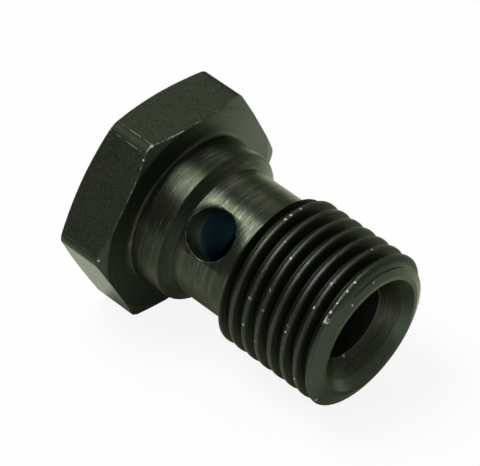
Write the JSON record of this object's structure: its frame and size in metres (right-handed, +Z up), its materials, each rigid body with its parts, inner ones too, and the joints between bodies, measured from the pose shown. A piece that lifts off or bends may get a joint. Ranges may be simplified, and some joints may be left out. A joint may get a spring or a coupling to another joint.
{
  "type": "banjo bolt",
  "caption": "Hollow hexagon-head bolt with a fluid bore, a cross hole in its necked shank and a fine thread, for clamping a banjo hose fitting.",
  "frame": {"origin": "on the ground, under the middle of the bolt's outline as it lies", "axes": "+X along the bolt, from the head towards the thread, level; +Z up; the bolt lies on one flat of its head and on the tip of its thread, so its own axis dips by about 7 degrees towards the thread"},
  "size_m": [0.0272, 0.0214, 0.0193],
  "materials": {
    "blackened_steel": "black oxide on turned steel, grey-green sheen, fine turning lines, worn edges"
  },
  "bodies": {
    "root": {"banjo_bolt": "blackened_steel"}
  },
  "joints": []
}
